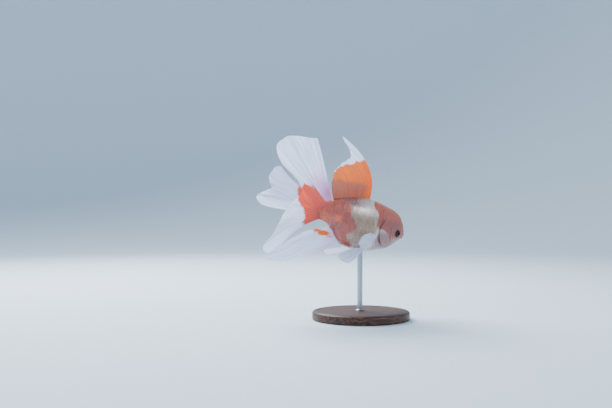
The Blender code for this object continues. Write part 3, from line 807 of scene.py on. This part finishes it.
def make_scales(finish):
    """The coat of overlapping scales over trunk and tail stem, in one joined mesh."""
    draw = np.random.default_rng(SEED)
    angles = section_angles(SCALE_ROWS)
    row_gaps = np.gradient(np.concatenate((angles, (TURN,))))[:-1]
    seats = scale_seats(angles)
    count = len(seats)
    row = seats[:, 2].astype(int)
    half_gap = stretch(seats[:, 0], seats[:, 1], 0, PROBE) * row_gaps[row]
    long_size = SCALE_OVERLAP * line_value(SCALE_PITCH, seats[:, 0]) * draw.uniform(0.96, 1.04, count)
    wide_size = SCALE_SPREAD * half_gap * draw.uniform(0.97, 1.03, count)
    lift = SCALE_LIFT * draw.uniform(0.88, 1.12, count) * (0.65 + 0.35 * rise(seats[:, 0], 0, 9))
    twist = draw.normal(0, 0.02, count)
    chance = draw.uniform(0, 1, count)
    verts, u, v = scale_vertices(seats, long_size, wide_size, lift, SCALE_DOME, twist, ROOT_SUNK)

    # the pored scales of the lateral line carry a short raised tube
    on_line = np.isin(row, (LINE_ROW, SCALE_ROWS - LINE_ROW)) & (seats[:, 0] > LINE_END)
    tube_seats = seats[on_line]
    tube_seats[:, 0] -= long_size[on_line] * TUBE_START
    tubes = scale_vertices(tube_seats, long_size[on_line] * TUBE_LONG, np.full(len(tube_seats), TUBE_WIDE),
                           np.full(len(tube_seats), TUBE_LIFT), TUBE_DOME, twist[on_line], -TUBE_RAISED)[0]
    verts = np.concatenate((verts, tubes))
    seats = np.concatenate((seats, tube_seats))
    chance = np.concatenate((chance, chance[on_line]))

    one = plate_faces(len(SCALE_LONG), len(SCALE_CROSS))
    each = verts.shape[1]
    faces = [tuple(k + scale * each for k in face) for scale in range(len(seats)) for face in one]
    points = verts.reshape(-1, 3)
    mesh = bpy.data.meshes.new("scales")
    mesh.from_pydata(to_world(points).tolist(), [], faces)
    mesh.materials.append(finish)
    piece = in_scene("scales", mesh)

    # a scale takes most of its marking from its own middle, so that the red ends scale by scale
    middle = body_markings(verts[:, 3 * len(SCALE_CROSS) + len(SCALE_CROSS) // 2])
    write_attribute(mesh, "markings", (1 - OWN_MIDDLE) * body_markings(points)
                    + OWN_MIDDLE * np.repeat(middle, each, axis=0))
    place = columns(u[None], v[None], chance[:, None]).transpose(0, 2, 1).reshape(-1, 3)
    write_attribute(mesh, "scale_place", place)
    unwrap_scales(mesh, seats, place)
    in_edit_mode(piece, face_outward)
    bpy.ops.object.shade_smooth_by_angle(angle=math.radians(50))
    return piece


# ---- fins

# Each fan of rays: the ends of its root line, its rim from first edge to last, how far its first and
# last edge bow, and the height and number of its waves.
FANS = {
    "dorsal": (
        ((47, 0, 17), (14.5, 0, 9.5)),
        ((4, -1.5, 70.5), (17, -0.8, 56), (10.5, 1.5, 46), (6, 1, 36), (6.4, 0.5, 28)),
        ((13, 0, 5), (-1.5, 0, 0)), (1, 2)),
    "upper_right": (
        ((11, -2, 8.5), (-1, -1.4, 0.4)),
        ((-21.5, -9, 62), (-37, -13, 59.5), (-53, -17, 55.5), (-60.5, -19.5, 45.5),
         (-51.8, -17.2, 33.2), (-36.8, -13.2, 25.4), (-22.5, -8.5, 13.4)),
        ((0.8, -1, 0), (-1, -1, 0.5)), (1.2, 2.5)),
    "lower_right": (
        ((-1, -1.4, -0.2), (3, -1.6, -7.4)),
        ((-22.5, -8.5, 12.8), (-33, -10.5, -4), (-38.5, -14, -19), (-43.5, -17.5, -31.5),
         (-50.5, -21, -42), (-45, -21, -47), (-36.5, -18.5, -43.5)),
        ((-1, -1, 0.5), (-3, -3, 4)), (1, 2)),
    "upper_left": (
        ((11, 2, 8.5), (-1, 1.4, 0.4)),
        ((-30.5, 40.5, 31), (-35, 44, 29.5), (-38, 44, 24), (-39, 41, 16), (-36, 36, 9.3)),
        ((-4, -1, -3.5), (-2, -3, 3)), (1.2, 2)),
    "lower_left": (
        ((-1, 1.4, -0.2), (3, 1.6, -7.4)),
        ((-36, 36, 8.7), (-41, 40, 4), (-46, 45, -1), (-42, 50, -6), (-34, 51, -9),
         (-25, 47, -9)),
        ((-2, -3, 3), (-2, -2, 1)), (1, 2)),
    "anal_right": (
        ((17, -2.6, -13.5), (27, -4, -22.5)),
        ((-33, -10, -45), (-39.5, -12, -50), (-37, -12, -53.5), (-24, -11, -51)),
        ((-1, -2, 4.5), (0, -2, -1.5)), (0.8, 1.5)),
    "anal_left": (
        ((17, 2.6, -13.5), (27, 4, -22.5)),
        ((-20, 13, -39), (-25, 15, -44), (-21, 15.5, -49), (-10, 13.5, -47)),
        ((-1, 2, 4.5), (0, 2, -1.5)), (0.8, 1.5)),
    "pelvic_right": (
        ((53, -7, -20), (48, -4.8, -21)),
        ((33, -19, -40), (27, -19, -39), (23.5, -15.5, -36), (27, -10, -33)),
        ((0, -1.5, -2), (0, -1, -1)), (0.6, 1.5)),
    "pelvic_left": (
        ((53, 7, -20), (48, 4.8, -21)),
        ((32, 21, -39), (26, 21, -38), (23, 17, -35), (27, 11, -32.5)),
        ((0, 1.5, -2), (0, 1, -1)), (0.6, 1.5)),
    "pectoral_right": (
        ((59, -10.5, -11.5), (56, -10.5, -16.5)),
        ((44, -23.5, -8), (37.5, -27, -11.5), (34.5, -28, -17), (37, -26, -22.5),
         (45, -20, -24.5)),
        ((1, -3, 0.5), (0, -3, -0.5)), (0.5, 1.5)),
    "pectoral_left": (
        ((59, 10.5, -11.5), (56, 10.5, -16.5)),
        ((46, 30, -8.5), (40, 33.5, -12), (37, 34, -17.5), (39, 31, -22.5), (46, 23, -24.5)),
        ((1, 2, 0.5), (0, 2, -0.5)), (0.5, 1.5)),
}
# Each fin: the CAD nodes it stands for, its fans, the rays in each fan, columns, rows, markings.
FINS = {
    "dorsal_fin_rays": (("dorsal_fin",), ("dorsal",), (19,), 300, 60, dorsal_markings),
    "tail_right": (("tail_upper_right", "tail_lower_right"), ("upper_right", "lower_right"), (11, 10), 340, 84,
                   lambda points: tail_markings(points, 0)),
    "tail_left": (("tail_upper_left", "tail_lower_left"), ("upper_left", "lower_left"), (11, 10), 320, 70,
                  lambda points: tail_markings(points, 9)),
    "anal_right": (("anal_fin_right",), ("anal_right",), (8,), 130, 60, anal_markings),
    "anal_left": (("anal_fin_left",), ("anal_left",), (8,), 130, 54, anal_markings),
    "pelvic_right": (("pelvic_fin_right",), ("pelvic_right",), (9,), 120, 40, pale_markings),
    "pelvic_left": (("pelvic_fin_left",), ("pelvic_left",), (9,), 120, 40, pale_markings),
    "pectoral_right": (("pectoral_fin_right",), ("pectoral_right",), (14,), 170, 40, pale_markings),
    "pectoral_left": (("pectoral_fin_left",), ("pectoral_left",), (14,), 170, 40, pale_markings),
}
FIN_THICKNESS = 0.6
THINNEST = 0.10              # share of it left between the rays at the rim
TAIL_ROOT_THICKNESS = 2.2    # where the flesh of the stem runs out onto the tail
FIRST_FORK = (0.24, 0.40)    # where a ray forks, from root 0 to rim 1
SECOND_FORK = (0.55, 0.72)
RAY_WIDTH = (0.085, 0.050)   # at root and rim, as a share of the step between rays
FOLDS = (3, 5, 8)            # how often each set of soft folds repeats across a fin


def fan_points(fan, across, along):
    """Points of one fan of rays: along 0 is the root line inside the body, 1 the rim."""
    root, rim, bow, (wave_height, wave_count) = fan
    side = 1 if root[0][1] >= 0 else -1
    root, bow = np.array(root), np.array(bow)
    a, t = across[:, None], along[:, None]
    stations = [(k / (len(rim) - 1), *point) for k, point in enumerate(rim)]
    end = np.stack([smooth_value(stations, column, across) for column in (1, 2, 3)], axis=1)
    start = root[0] * (1 - a) + root[1] * a
    bend = bow[0] * (1 - a) + bow[1] * a
    points = start * (1 - t) + end * t + bend * 4 * t * (1 - t)
    points[:, 1] += side * wave_height * np.sin(TURN * wave_count * across) * along ** 2
    return points


def ray_relief(across, along, rays, draw):
    """1 on the crest of a bony ray, 0 between: each ray forks twice on its way to the rim."""
    at = across * rays
    ray = np.clip(at.astype(int), 0, rays - 1)
    first = draw.uniform(*FIRST_FORK, rays)[ray]
    second = draw.uniform(*SECOND_FORK, rays)[ray]
    wobble = draw.uniform(-0.06, 0.06, rays)[ray] * np.sin(along * 5 + ray)
    off_ray = at - ray - 0.5 - wobble * along
    gap = np.abs(np.abs(np.abs(off_ray) - 0.25 * rise(along, first, 1.05)) - 0.125 * rise(along, second, 1.1))
    return hump(gap, RAY_WIDTH[0] + (RAY_WIDTH[1] - RAY_WIDTH[0]) * along)


def jagged(marks, rays, across, draw):
    """Let the red run out to its own length along each ray, by as much as the fourth column says."""
    broad = np.interp(across * rays, np.arange(rays + 1), draw.normal(0, 1, rays + 1))
    fine = np.interp(across * rays * 4, np.arange(rays * 4 + 1), draw.normal(0, 0.6, rays * 4 + 1))
    red, deep, tone, ragged = marks.T
    return columns(red + ragged * (broad + fine), deep, tone)


def thicken(piece, thick):
    """Give a sheet its own thickness in mm at each vertex."""
    weight = piece.vertex_groups.new(name="thickness")
    steps = np.round(thick / thick.max() * 250).astype(int)
    for level in np.unique(steps):
        weight.add(np.nonzero(steps == level)[0].tolist(), float(level) / 250, "REPLACE")
    wall = piece.modifiers.new("wall", "SOLIDIFY")
    wall.thickness = thick.max() * MM
    wall.offset = 0
    wall.vertex_group = "thickness"
    only(piece)
    bpy.ops.object.modifier_apply(modifier="wall")
    piece.vertex_groups.clear()


def make_fin(name, finish):
    """One fin: a thin sheet on raised, forking rays, with a slightly ragged rim."""
    _, fan_names, rays, grid_columns, grid_rows, markings = FINS[name]
    fans = [FANS[fan_name] for fan_name in fan_names]
    draw = np.random.default_rng(SEED + sum(map(ord, name)))
    piece = primitive(bpy.ops.mesh.primitive_grid_add, name, finish,
                      x_subdivisions=grid_columns, y_subdivisions=grid_rows, size=2)
    flat = read_vectors(piece.data.vertices, "co")
    whole, along = (flat[:, 0] + 1) / 2, (flat[:, 1] + 1) / 2
    panel = np.minimum((whole * len(fans)).astype(int), len(fans) - 1)
    across = whole * len(fans) - panel
    ridge = np.zeros(len(across))
    for k, count in enumerate(rays):
        here = panel == k
        ridge[here] = ray_relief(across[here], along[here], count, draw)

    # rim: rays reach a little past the membrane, and each ends at its own length
    all_rays = sum(rays)
    length = np.interp(whole * all_rays, np.arange(all_rays + 1), draw.uniform(-1, 1, all_rays + 1))
    cut = along - (0.006 * (1 - ridge) + 0.012 * (1 + length)) * along ** 8

    points = np.zeros((len(across), 3))
    for k, fan in enumerate(fans):
        here = panel == k
        points[here] = fan_points(fan, across[here], cut[here])
    for k in range(1, len(fans)):       # neighbouring fans share one edge
        seam = np.abs(whole - k / len(fans)) < 1e-4
        last, first = np.ones(seam.sum()), np.zeros(seam.sum())
        points[seam] = (fan_points(fans[k - 1], last, cut[seam]) + fan_points(fans[k], first, cut[seam])) / 2

    # soft folds that deepen toward the rim
    fold = np.zeros(len(across))
    for count in FOLDS:
        height = draw.uniform(0.25, 0.45) * (FOLDS[0] / count) ** 0.5
        fold += height * np.sin(TURN * (count * whole + draw.uniform() + 0.25 * along))
    points[:, 1] += np.sign(np.mean(points[:, 1]) + 1e-6) * fold * along ** 2.2
    write_attribute(piece.data, "markings", jagged(markings(points), all_rays, whole, draw))
    write_attribute(piece.data, "fin_place", columns(whole, along, ridge))
    write_points(piece.data, to_world(points))

    # thick at the root, on the rays and along the two edges, thin between them at the rim
    edge = np.minimum(whole, 1 - whole) * all_rays
    share = 0.22 + 0.28 * (1 - along) ** 2 + 0.42 * ridge * (1 - 0.55 * along)
    share += 0.25 * hump(edge, 0.25) * (1 - 0.5 * along)
    thick = FIN_THICKNESS * np.clip(share * (1 - 0.5 * rise(along, 0.93, 1)), THINNEST, 1)
    if len(fans) > 1:
        thick += TAIL_ROOT_THICKNESS * hump(along, 0.13)
    thicken(piece, thick)
    bpy.ops.object.shade_smooth_by_angle(angle=math.radians(65))
    return piece


# ---- eyes

def make_eye(name, hand, finish):
    """One eyeball with a slightly bulging cornea, turned outward and a little forward."""
    piece = primitive(bpy.ops.mesh.primitive_uv_sphere_add, name, finish,
                      segments=64, ring_count=40, radius=1)
    ball = read_vectors(piece.data.vertices, "co")
    polar = np.arccos(np.clip(ball[:, 2], -1, 1))
    ball *= (EYE_RADIUS - 0.15 + 0.18 * hump(polar, 0.6))[:, None]
    flip = np.array((1, hand, 1))
    axis = EYE_AXIS * flip / np.linalg.norm(EYE_AXIS)
    fore = np.cross(axis, (0, 0, 1))
    fore /= np.linalg.norm(fore)
    points = ball @ np.stack((fore, np.cross(fore, axis), axis)) + EYE_CENTRE * flip
    write_attribute(piece.data, "from_pupil", np.sin(np.minimum(polar, math.pi / 2)))
    write_points(piece.data, to_world(points))
    in_edit_mode(piece, face_outward)
    bpy.ops.object.shade_smooth()
    return piece


# ---- stand and stage

# profiles of turned pieces: radius and height in mm
BASE_PROFILE = (
    (0, 0), (43.4, 0), (44.5, 0.4), (45, 1.4), (45, 6.2), (44.6, 7.2), (43.8, 7.8), (42.8, 8),
    (41, 8), (40.7, 7.7), (40.2, 7.55), (39.7, 7.7), (39.4, 8), (4, 8), (0, 8))
COLLAR_PROFILE = ((0, 8), (3.8, 8), (3.9, 8.3), (3.9, 9), (3.6, 9.3), (2.7, 9.4), (2.45, 9.7))
ROD_RADIUS = 2.45
ROD_X = -1                   # the rod stands a little behind the middle of the base
ROD_IN_SKIN = 1.2            # how far its end runs on into the belly
FLOOR_FLAT = 1100            # radius at which the studio floor starts to sweep up
FLOOR_SWEEP = 700            # radius of the sweep
WALL_TOP = 2600

CAMERA_AIM = Vector((-0.053, 0.004, 0.1064))
CAMERA_DISTANCE = 0.76
CAMERA_TURN = math.radians(-22)
CAMERA_VIEW = math.radians(40)
LIGHTS_AIM = (-0.03, 0, 0.11)
# name, place, size, power, colour
LIGHTS = (("window", (-0.25, 0.55, 0.80), 0.7, 28, "#F8FAFF"),
          ("front_fill", (0.45, -0.75, 0.70), 0.35, 2.4, "#EEF4FF"),
          ("left_fill", (-1.35, -0.5, 0.90), 0.7, 5, "#E6F0FF"))


def turned(name, profile, finish, steps, centre_x=0):
    """A piece turned on a lathe: a profile of radius and height in mm, spun about an upright axis."""
    mesh = bpy.data.meshes.new(name)
    points = [((centre_x + radius) * MM, 0, height * MM) for radius, height in profile]
    mesh.from_pydata(points, [(k, k + 1) for k in range(len(points) - 1)], [])
    mesh.materials.append(finish)
    piece = in_scene(name, mesh)
    middle = (centre_x * MM, 0, 0)
    in_edit_mode(piece,
                 lambda: bpy.ops.mesh.spin(steps=steps, angle=TURN, center=middle, axis=(0, 0, 1)),
                 lambda: bpy.ops.mesh.select_all(action="SELECT"),
                 lambda: bpy.ops.mesh.remove_doubles(threshold=1e-6),
                 face_outward)
    bpy.ops.object.shade_smooth_by_angle(angle=math.radians(35))
    return piece


def make_stage(finish):
    """A pale round floor that sweeps up into a wall all round."""
    sweep = [(FLOOR_FLAT + FLOOR_SWEEP * math.sin(t), FLOOR_SWEEP - FLOOR_SWEEP * math.cos(t))
             for t in np.linspace(0, math.pi / 2, 14)]
    profile = [(0, 0), *sweep, (FLOOR_FLAT + FLOOR_SWEEP, WALL_TOP)]
    floor = turned("studio_floor", profile, finish, 96)
    bpy.ops.object.shade_smooth()


def aim(made, place, target):
    """Set a light or camera at its place, facing a target."""
    made.location = place
    made.rotation_euler = (Vector(target) - Vector(place)).to_track_quat("-Z", "Y").to_euler()


def set_camera_and_light():
    """Camera level with the fish, to its right and a little behind, under soft light from above and behind."""
    lens = bpy.data.cameras.new("camera")
    lens.angle = CAMERA_VIEW
    lens.clip_start = 0.01
    camera = in_scene("camera", lens)
    away = Vector((math.sin(CAMERA_TURN), -math.cos(CAMERA_TURN), 0))
    aim(camera, CAMERA_AIM + CAMERA_DISTANCE * away, CAMERA_AIM)
    bpy.context.scene.camera = camera
    for name, place, size, power, colour in LIGHTS:
        lamp = bpy.data.lights.new(name, "AREA")
        lamp.size = size
        lamp.energy = power
        lamp.color = srgb(colour)[:3]
        aim(in_scene(name, lamp), place, LIGHTS_AIM)
    world = bpy.data.worlds.new("studio")
    bpy.context.scene.world = world
    world.use_nodes = True
    sky = world.node_tree.nodes["Background"].inputs
    sky["Color"].default_value = srgb("#DFEAF6")
    sky["Strength"].default_value = 0.88


# ---- the model

set_camera_and_light()
make_stage(material("matt_studio_paper", studio_paper))

skin = make_skin(material("wet_fish_skin", fish_skin))
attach(skin, "root")
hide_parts("head", "jaw", "trunk", "tail_stem", "gill_cover_left", "gill_cover_right")

scales = make_scales(material("goldfish_scale", bony_scale))
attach(scales, "root")

red_membrane = material("fin_membrane_red", fin_membrane, RED_FIN_PALETTE)
orange_membrane = material("fin_membrane_orange", fin_membrane, ORANGE_FIN_PALETTE)
for fin_name, fin in FINS.items():
    made = make_fin(fin_name, red_membrane if fin_name.startswith("tail") else orange_membrane)
    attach(made, "root")
    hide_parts(*fin[0])

eyeball = material("wet_eyeball", wet_eyeball)
for label, hand in (("right", -1), ("left", 1)):
    made = make_eye("eyeball_" + label, hand, eyeball)
    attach(made, "root")
    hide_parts("eye_" + label)

base = turned("display_base", BASE_PROFILE, material("stained_beech", stained_beech), 128)
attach(base, "root")
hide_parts("stand_base")

rod_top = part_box("stand_rod")[1][2] / MM + ROD_IN_SKIN
rod_profile = (*COLLAR_PROFILE, (ROD_RADIUS, rod_top), (0, rod_top))
rod = turned("display_rod", rod_profile, material("brushed_stainless_steel", brushed_steel), 64, ROD_X)
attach(rod, "root")
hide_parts("stand_rod")
